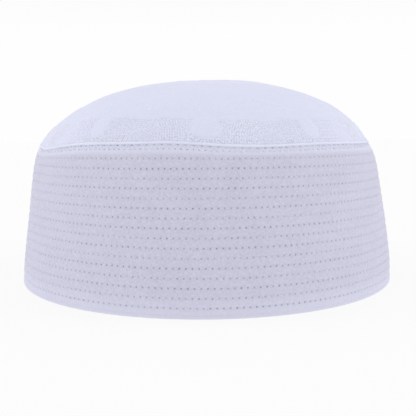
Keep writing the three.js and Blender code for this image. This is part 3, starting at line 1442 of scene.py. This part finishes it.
@dataclass
class Crown:
    """The domed crown, one sheet of cloth embroidered in its own white.

    The pattern has ten upright petals round the seam, by turns wide and narrow, a low disc between
    each two of them, and rows of short stitches that echo the discs.
    """

    form: CapForm
    columns: int = 720
    repeats: int = 10
    # The border. Each disc stands off the middle between two petals, towards the narrow one.
    disc_half_width: float = 6.4
    disc_height: float = 5.6
    disc_shift: float = 3.7
    wide_petal: float = 7.4
    narrow_petal: float = 4.6
    petal_foot: float = 2.0
    petal_top: float = 12.4
    border_top: float = 11.6
    scallop: float = 0.64
    # How far the pattern is turned, and crowds towards the front, in repeats.
    pattern_shift: float = 0.022
    squeeze: float = 0.113
    # The leaves and stars above the border, and the petals and rings round the middle.
    leaf_foot: float = 15.5
    leaf_gap: float = 1.5
    leaf_length: float = 20.0
    leaf_half_width: float = 3.0
    leaf_lean: float = 52.0
    centre_hole: float = 5.0
    centre_reach: float = 30.0
    centre_half_width: float = 4.2
    centre_rings: tuple[float, ...] = (4.0, 32.0, 33.6)
    star_height: float = 17.5
    star_reach: float = 2.2
    # How far plain shapes swell and stitched cloth sinks, and the cloth's outward turn at the welt.
    shape_puff: float = 0.22
    stitched_dent: float = 0.03
    leaf_puff: float = 0.16
    foot_flare: float = 0.5
    # How strong the painted hole shade is on the cap's sides, as a share.
    side_stitch_shade: float = 0.2
    echo_step: float = 1.15
    dash: float = 1.15
    dash_pitch: float = 1.75
    dash_sunk: float = 0.04
    seam_allowance: float = 8.0
    echo_stitching: Stitching = Stitching(0.30, 0.05, 0.4)
    leaf_stitching: Stitching = Stitching(0.2, 0.03, 0.05)
    outline: np.ndarray = field(init=False)

    def __post_init__(self) -> None:
        """Works out the dome's outline once."""
        self.outline = self.form.dome()

    @property
    def reach(self) -> float:
        """Distance along the cloth from the seam to the middle."""
        return float(self.outline[-1, 0])

    @property
    def period(self) -> float:
        """Width of one repeat at the seam."""
        extra = self.form.rim_half_length - self.form.rim_half_width
        return 2 * math.pi * (self.form.crown_half_width + extra / 2) / self.repeats

    def section(self, up: np.ndarray, lift: np.ndarray) -> tuple[np.ndarray, np.ndarray]:
        """Finds places on the dome's outline, which turns out a little to meet the welt.

        Args:
            up: Distances along the cloth from the seam.
            lift: Heights above the cloth.

        Returns:
            Half widths and levels.
        """
        along, half, level = self.outline.T
        up = np.asarray(up, float)
        here = np.stack([np.interp(up, along, half), np.interp(up, along, level)])
        ahead = np.clip(up + 0.4, 0, self.reach)
        behind = np.clip(up - 0.4, 0, self.reach)
        run = np.interp(ahead, along, half) - np.interp(behind, along, half)
        climb = np.interp(ahead, along, level) - np.interp(behind, along, level)
        size = np.hypot(run, climb)
        flare = self.foot_flare * (1 - smoothstep(up, 0, 2.6))
        return here[0] + flare + lift * climb / size, here[1] - lift * run / size

    def place(self, turn: np.ndarray, up: np.ndarray, lift: np.ndarray) -> np.ndarray:
        """Finds places on the finished dome.

        Args:
            turn: Turns round the cap, in radians.
            up: Distances along the cloth from the seam.
            lift: Heights above the cloth, in millimetres.

        Returns:
            Points in metres.
        """
        half, level = self.section(up, lift)
        level = np.maximum(level, self.form.dome_foot)
        return self.form.oval(np.maximum(half, 0), turn, level, True)

    def turn(self, around: np.ndarray) -> np.ndarray:
        """Returns the turn at a place in repeats; the pattern sits a little unevenly on the seam."""
        even = np.asarray(around) * 2 * np.pi / self.repeats
        return even + (self.pattern_shift - self.squeeze * np.sin(even)) * 2 * np.pi / self.repeats

    def disc_at(self, around: np.ndarray) -> np.ndarray:
        """Returns where between two petals the disc stands, as a share, nearer the narrow one."""
        side = 1 - 2 * (np.floor(around) % 2)
        return 0.5 + side * self.disc_shift / self.period

    def in_disc(self, around: np.ndarray, up: np.ndarray) -> np.ndarray:
        """Returns how deep a point lies inside a disc, from 0 at its edge to 1."""
        across = (around % 1 - self.disc_at(around)) * self.period
        return 1 - np.hypot(across / self.disc_half_width, up / self.disc_height)

    def in_petal(self, around: np.ndarray, up: np.ndarray) -> np.ndarray:
        """Works out how deep a point lies inside a petal, whose outline is a rounded oblong.

        Args:
            around: Places round the seam in repeats, whole numbers at the petals.
            up: Distances along the cloth from the seam.

        Returns:
            From 0 at its edge to 1 in its middle, and below 0 outside.
        """
        across = (((around + 0.5) % 1) - 0.5) * self.period
        share = np.clip((up - self.petal_foot) / (self.petal_top - self.petal_foot), 0, 1)
        widest = np.where(np.floor(around + 0.5) % 2 == 0, self.wide_petal, self.narrow_petal)
        half = widest * (1 - np.abs(2 * share - 1) ** 3) ** 0.55
        inside = 1 - np.abs(across) / np.maximum(half, 0.01)
        return np.where((up > self.petal_foot) & (up < self.petal_top), inside, -1.0)

    def shrink(self, up: np.ndarray) -> np.ndarray:
        """Returns how narrow the crown is at a distance from the seam, as a share of its foot."""
        return np.interp(up, self.outline[:, 0], self.outline[:, 1]) / self.form.crown_half_width

    def in_leaf(self, around: np.ndarray, up: np.ndarray) -> np.ndarray:
        """Works out how deep a point lies inside one of the paired leaves.

        Args:
            around: Places round the seam in repeats, whole numbers at the petals.
            up: Distances along the cloth from the seam.

        Returns:
            From 0 at its edge to 1 in its middle, and below 0 outside.
        """
        across = (((around + 0.5) % 1) - 0.5) * self.period * self.shrink(up)
        side = np.where(across < 0, -1.0, 1.0)
        lean = math.radians(self.leaf_lean)
        beside = across * side - self.leaf_gap
        far = beside * math.sin(lean) + (up - self.leaf_foot) * math.cos(lean)
        wide = beside * math.cos(lean) - (up - self.leaf_foot) * math.sin(lean)
        share = np.clip(far / self.leaf_length, 0, 1)
        half = np.maximum(self.leaf_half_width * np.sin(np.pi * share), 0.01)
        return np.where((share > 0) & (share < 1), 1 - np.abs(wide) / half, -1.0)

    def in_centre_petal(self, around: np.ndarray, up: np.ndarray) -> np.ndarray:
        """Works out how deep a point lies inside one of the petals round the middle.

        Args:
            around: Places round the seam in repeats, whole numbers at the petals.
            up: Distances along the cloth from the seam.

        Returns:
            From 0 at its edge to 1 in its middle, and below 0 outside.
        """
        out = self.reach - up
        across = (((around + 0.5) % 1) - 0.5) * 2 * np.pi / self.repeats * out
        share = np.clip((out - self.centre_hole) / (self.centre_reach - self.centre_hole), 0, 1)
        half = np.maximum(self.centre_half_width * np.sin(np.pi * share**1.3), 0.01)
        return np.where((share > 0) & (share < 1), 1 - np.abs(across) / half, -1.0)

    def border(self, around: np.ndarray) -> np.ndarray:
        """Works out the top of the stitched border, which is scalloped over the discs.

        Args:
            around: Places round the seam in repeats, whole numbers at the petals.

        Returns:
            Distances along the cloth from the seam.
        """
        from_disc = around % 1 - self.disc_at(around)
        near = np.abs(from_disc) < 0.25
        return self.border_top - self.scallop * np.cos(4 * np.pi * from_disc) * near

    def zone(self, around: np.ndarray, up: np.ndarray) -> np.ndarray:
        """Tells stitched cloth from plain cloth.

        Args:
            around: Places round the seam in repeats, whole numbers at the petals.
            up: Distances along the cloth from the seam.

        Returns:
            The values of Zone.
        """
        disc = self.in_disc(around, up)
        petal = self.in_petal(around, up)
        stitched = (up > 0.0) & (up < self.border(around)) & (petal < 0)
        kind = np.where(disc < 0, Zone.STITCHED.value, Zone.FILLED.value)
        return np.where(stitched, kind, Zone.PLAIN.value)

    def shown(self, turn: np.ndarray) -> np.ndarray:
        """Returns the painted hole shade's strength, a share; it is weaker on the cap's sides."""
        facing = smoothstep(np.abs(np.cos(turn)), 0.7, 0.86)
        return self.side_stitch_shade + (1 - self.side_stitch_shade) * facing

    def puff(self, around: np.ndarray, up: np.ndarray) -> np.ndarray:
        """Works out how far the cloth stands up where no stitches hold it down.

        Args:
            around: Places round the seam in repeats, whole numbers at the petals.
            up: Distances along the cloth from the seam.

        Returns:
            Heights in millimetres.
        """
        disc = self.in_disc(around, up)
        petal = self.in_petal(around, up)
        shapes = np.clip(np.maximum(disc, petal), 0, 1)
        low = self.shape_puff * np.clip(shapes * 2.2, 0, 1) ** 0.6
        low -= self.stitched_dent * self.zone(around, up)
        sewn = np.clip(np.maximum(self.in_leaf(around, up), self.in_centre_petal(around, up)), 0, 1)
        return low + self.leaf_puff * np.clip(sewn * 1.8, 0, 1) ** 0.7

    def mesh(self) -> bpy.types.Mesh:
        """Builds the crown's closed shell: underside, tucked edge and embroidered dome.

        Returns:
            The mesh with its maps and its point values.
        """
        form = self.form
        around = np.arange(self.columns) / self.columns * self.repeats
        turn = self.turn(around)
        edge = np.arange(self.columns + 1) / self.columns * self.repeats
        ends = np.full(1, self.reach - 0.01)
        poles = [self.place(np.zeros(1), ends, lift) for lift in (-form.crown_wall, 0.0)]
        rings = Rings(poles=poles)
        for up in np.linspace(self.reach - 2.5, 0, 26):
            points = self.place(turn, np.full(len(turn), up), -form.crown_wall)
            rings.lay(points, edge, {WEAVE_MAP: (self.period, -30 - up)}, stitched=0.0, filled=0.0)
        tuck = [form.band_height - form.tuck_depth * share for share in (1, 0.5, 0)]
        neck = [(float(form.band_inside(level)) - form.clearance, level) for level in tuck]
        neck.append((form.neck_half_width, form.welt_height - 0.3))
        neck.append((form.neck_half_width + 0.3, form.welt_height))
        down = [(half - form.crown_wall, level) for half, level in reversed(neck)]
        for half, level in down + neck:
            points = form.oval(half, turn, level, True)
            ups = {WEAVE_MAP: (self.period, level - form.crown_start - 1)}
            rings.lay(points, edge, ups, stitched=0.0, filled=0.0)
        # The rings lie closest in the border, whose pattern is the finest.
        fine = np.arange(0, 14.4, 0.6)
        coarse = np.arange(15, 45, 1.0)
        top = np.linspace(45, self.reach - 1.5, 22)
        shown = self.shown(turn)
        for up in np.concatenate([fine, coarse, top]):
            ups = np.full(len(turn), up)
            points = self.place(turn, ups, self.puff(around, ups) * smoothstep(up, 0.2, 1.4))
            # The painted hole shade is strongest in the lowest stitches, next to the welt.
            foot = 1 + 0.6 * (1 - smoothstep(up, 1.8, 2.4))
            stitched = self.zone(around, ups) * foot * shown
            filled = smoothstep(self.in_disc(around, ups), 0, 0.12) * shown
            maps = {WEAVE_MAP: (self.period, up)}
            rings.lay(points, edge, maps, stitched=stitched, filled=filled)
        return rings.mesh("embroidered_crown")

    def dashes(self, lines: list[np.ndarray]) -> Guides:
        """Lays short stitches along lines drawn on the cloth.

        Args:
            lines: For each line, rows of a place round the seam in repeats and a distance up.

        Returns:
            The guides.
        """
        starts, ends = [], []
        for line in lines:
            around, up = line.T
            real = np.stack([around * self.period * self.shrink(up), up], axis=1)
            travel = np.concatenate([[0], np.cumsum(np.linalg.norm(np.diff(real, axis=0), axis=1))])
            at = np.arange(0.2, travel[-1] - self.dash, self.dash_pitch)
            for target, shift in ((starts, 0.0), (ends, self.dash)):
                target.append([np.interp(at + shift, travel, one) for one in (around, up)])
        (start, foot), (end, head) = (np.concatenate(one, axis=1) for one in (starts, ends))
        first = self.place(self.turn(start), foot, -self.dash_sunk)
        second = self.place(self.turn(end), head, -self.dash_sunk)
        out = self.place(self.turn(start), foot, 1.0) - first
        return Guides.between(first, second, out / np.linalg.norm(out, axis=1, keepdims=True))

    def echo_lines(self) -> list[np.ndarray]:
        """Draws the arcs that fill and echo the discs, cut off at petals and at the border's top.

        Returns:
            The lines.
        """
        lines = []
        radii = np.arange(1.2, 20, self.echo_step)
        for repeat in range(self.repeats):
            for radius in radii:
                angle = np.linspace(0.02, math.pi - 0.02, 160)
                # The near arcs have the disc's own shape, and the far ones stand taller.
                tall = radius * self.disc_height / self.disc_half_width if radius < 9 else radius + 2
                across = -radius * np.cos(angle)
                up = tall * np.sin(angle)
                around = repeat + float(self.disc_at(repeat)) + across / self.period
                keep = self.zone(around, up) != Zone.PLAIN.value
                keep &= np.floor(around) == repeat
                for run in np.split(np.arange(len(angle)), np.flatnonzero(np.diff(keep)) + 1):
                    if keep[run[0]] and len(run) > 4:
                        lines.append(np.stack([around[run], up[run]], axis=1))
        return lines

    def leaf_lines(self) -> list[np.ndarray]:
        """Draws two slanting leaves with midribs above each petal, and a star over each disc.

        Returns:
            The lines.
        """
        lines = []
        t = np.linspace(0, 1, 40)
        lean = math.radians(self.leaf_lean)
        far = self.leaf_length * t
        for repeat in range(self.repeats):
            for side in (-1, 1):
                for bulge in (-1, 0, 1):
                    wide = bulge * self.leaf_half_width * np.sin(np.pi * t)
                    beside = far * math.sin(lean) + wide * math.cos(lean) + self.leaf_gap
                    up = self.leaf_foot + far * math.cos(lean) - wide * math.sin(lean)
                    around = repeat + side * beside / self.period / self.shrink(up)
                    lines.append(np.stack([around, up], axis=1))
            for spoke in range(4):
                angle = math.pi * spoke / 4
                reach = np.linspace(-self.star_reach, self.star_reach, 9)
                around = repeat + float(self.disc_at(repeat)) + reach * math.cos(angle) / self.period
                lines.append(np.stack([around, self.star_height + reach * math.sin(angle)], axis=1))
        return lines

    def centre_lines(self) -> list[np.ndarray]:
        """Draws the petals round the middle of the crown, with one ring inside and two outside.

        Returns:
            The lines.
        """
        lines = []
        t = np.linspace(0.02, 0.98, 40)
        out = self.centre_hole + (self.centre_reach - self.centre_hole) * t
        for repeat in range(self.repeats):
            for bulge in (-1, 1):
                wide = bulge * self.centre_half_width * np.sin(np.pi * t**1.3)
                around = repeat + wide / out * self.repeats / (2 * np.pi)
                lines.append(np.stack([around, self.reach - out], axis=1))
        round_the_middle = np.linspace(0, self.repeats, 361)
        for out in self.centre_rings:
            lines.append(np.stack([round_the_middle, np.full(361, self.reach - out)], axis=1))
        return lines

    def build(self, cloth: EmbroideredCotton, thread: CottonThread) -> list[bpy.types.Object]:
        """Builds and dresses the crown and its embroidery.

        Args:
            cloth: The crown's finish.
            thread: The embroidery's finish.

        Returns:
            The pieces.
        """
        crown = finished("embroidered_crown", self.mesh(), cloth.material())
        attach(crown, BODY)
        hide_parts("crown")
        sewing = thread.material()
        border, top = self.echo_lines(), self.leaf_lines() + self.centre_lines()
        echoes = self.echo_stitching.lay("crown_stitches", self.dashes(border), sewing)
        leaves = self.leaf_stitching.lay("leaf_stitches", self.dashes(top), sewing)
        for piece in (echoes, leaves):
            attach(piece, BODY)
        return [crown, echoes, leaves]


# The studio


@dataclass(frozen=True)
class Studio:
    """A plain white room without edges: a pale floor, even light, and soft lights above and beside.

    Args:
        floor_colour: The floor's colour under the light.
        floor_glow: How brightly the light table shines through it.
        floor_half: Half the floor's side, in metres.
        wall_light: Brightness of the low walls.
        room_light: Brightness of the upper room.
        top_light: Share of the light from above.
        side_light: Share of the light from each side.
        lens: Focal length in millimetres on a frame 36 mm wide.
        eye: Where the camera stands, in metres.
        turned: How far it looks to its left, in degrees.
        lowered: How far it looks down.
        rolled: How far it is rolled.
    """

    floor_colour: str = "#7C7C7C"
    floor_glow: float = 0.78
    floor_half: float = 12.0
    wall_light: float = 0.99
    room_light: float = 0.81
    top_light: float = 0.09
    side_light: float = 0.135
    lens: float = 60.62
    eye: tuple[float, float, float] = (0, -0.3535, 0.06758)
    turned: float = -0.14
    lowered: float = 5.78
    rolled: float = -0.46

    def floor(self) -> bpy.types.Object:
        """Lays the floor, a sheet of matte white acrylic over a dim light table.

        Returns:
            The floor.
        """
        mesh = bpy.data.meshes.new("studio_floor")
        h = self.floor_half
        mesh.from_pydata([(-h, -h, 0), (h, -h, 0), (h, h, 0), (-h, h, 0)], [], [(0, 1, 2, 3)])
        # Cast and sanded, it gives the eye an even white without gloss or a hard shadow.
        material = bpy.data.materials.new("matte_opal_acrylic")
        material.use_nodes = True
        shader = material.node_tree.nodes["Principled BSDF"]
        constants = {
            "Base Color": linear(self.floor_colour),
            "Roughness": 0.9,
            "Specular IOR Level": 0.0,
            "Emission Color": (1, 1, 1, 1),
            "Emission Strength": self.floor_glow,
        }
        for label, value in constants.items():
            shader.inputs[label].default_value = value
        floor = finished("studio_floor", mesh, material)
        return floor

    def lights(self) -> None:
        """Sets the even light of the room, and the soft lights above and to the sides."""
        world = bpy.data.worlds.new("white_room")
        bpy.context.scene.world = world
        world.use_nodes = True
        tree = world.node_tree
        background = tree.nodes["Background"]
        background.inputs["Color"].default_value = (1, 1, 1, 1)
        way = add_node(tree, "ShaderNodeTexCoord")
        axes = add_node(tree, "ShaderNodeSeparateXYZ", {0: way.outputs["Generated"]})
        # The low walls are as bright as the floor, and the upper room is a little darker.
        strength = add_node(
            tree,
            "ShaderNodeMapRange",
            {
                "Value": axes.outputs["Z"],
                "From Min": 0.12,
                "From Max": 0.45,
                "To Min": self.wall_light,
                "To Max": self.room_light,
            },
            interpolation_type="SMOOTHSTEP",
        )
        tree.links.new(strength.outputs[0], background.inputs["Strength"])
        lamps = (
            ("overhead", self.top_light, (0.0, 0.12, 1.0), 35),
            ("left_side", self.side_light, (-1.0, 0.1, 0.3), 40),
            ("right_side", self.side_light, (1.0, 0.1, 0.3), 40),
        )
        for name, share, towards, spread in lamps:
            data = bpy.data.lights.new(name, "SUN")
            data.energy = share * math.pi
            data.angle = math.radians(spread)
            lamp = bpy.data.objects.new(name, data)
            lamp.rotation_mode = "QUATERNION"
            lamp.rotation_quaternion = Vector(towards).to_track_quat("Z", "Y")
            bpy.context.scene.collection.objects.link(lamp)

    def camera(self) -> None:
        """Places the camera at the photograph's angle, a little above the floor."""
        data = bpy.data.cameras.new("camera")
        data.sensor_width = 36.0
        data.lens = self.lens
        data.clip_start = 0.01
        data.clip_end = 50.0
        camera = bpy.data.objects.new("camera", data)
        bpy.context.scene.collection.objects.link(camera)
        place = Matrix.Translation(self.eye)
        for angle, axis in ((self.turned, "Z"), (90 - self.lowered, "X"), (self.rolled, "Z")):
            place = place @ Matrix.Rotation(math.radians(angle), 4, axis)
        camera.matrix_world = place
        bpy.context.scene.camera = camera

    def build(self) -> list[bpy.types.Object]:
        """Sets up the whole studio.

        Returns:
            Its stage pieces.
        """
        self.camera()
        self.lights()
        bpy.context.scene.view_settings.view_transform = "Standard"
        return [self.floor()]


def main() -> None:
    """Builds the studio and the cap's sewn pieces in order."""
    logging.basicConfig(level=logging.INFO, format="%(name)s: %(message)s")
    low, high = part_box("band")
    half_width = round((high.x - low.x) / 2 / MM, 1)
    half_length = round((high.y - low.y) / 2 / MM, 1)
    form = CapForm(half_width, half_length)
    quilted = QuiltedCotton("quilted_woven_cotton", "#DFDFF0", "#B6B6CB")
    embroidered = EmbroideredCotton("embroidered_woven_cotton", "#E6E9FC", "#D3D5EB")
    rolled = RolledCotton("rolled_woven_cotton", "#ECEEFC", "#DDDFF0")
    thread = CottonThread("mercerised_cotton_thread", "#E6E6F5", "#D3D3E5", roughness=0.7)
    white_thread = CottonThread("bleached_cotton_thread", "#F8F9FF", "#E8E9F8", roughness=0.7)
    pieces = Studio().build()
    pieces += Band(form).build(quilted, thread, white_thread)
    pieces += Welt(form).build(rolled)
    pieces += Crown(form).build(embroidered, white_thread)
    for piece in pieces:
        log.info("built %s", piece.name)


if __name__ == "__main__":
    main()
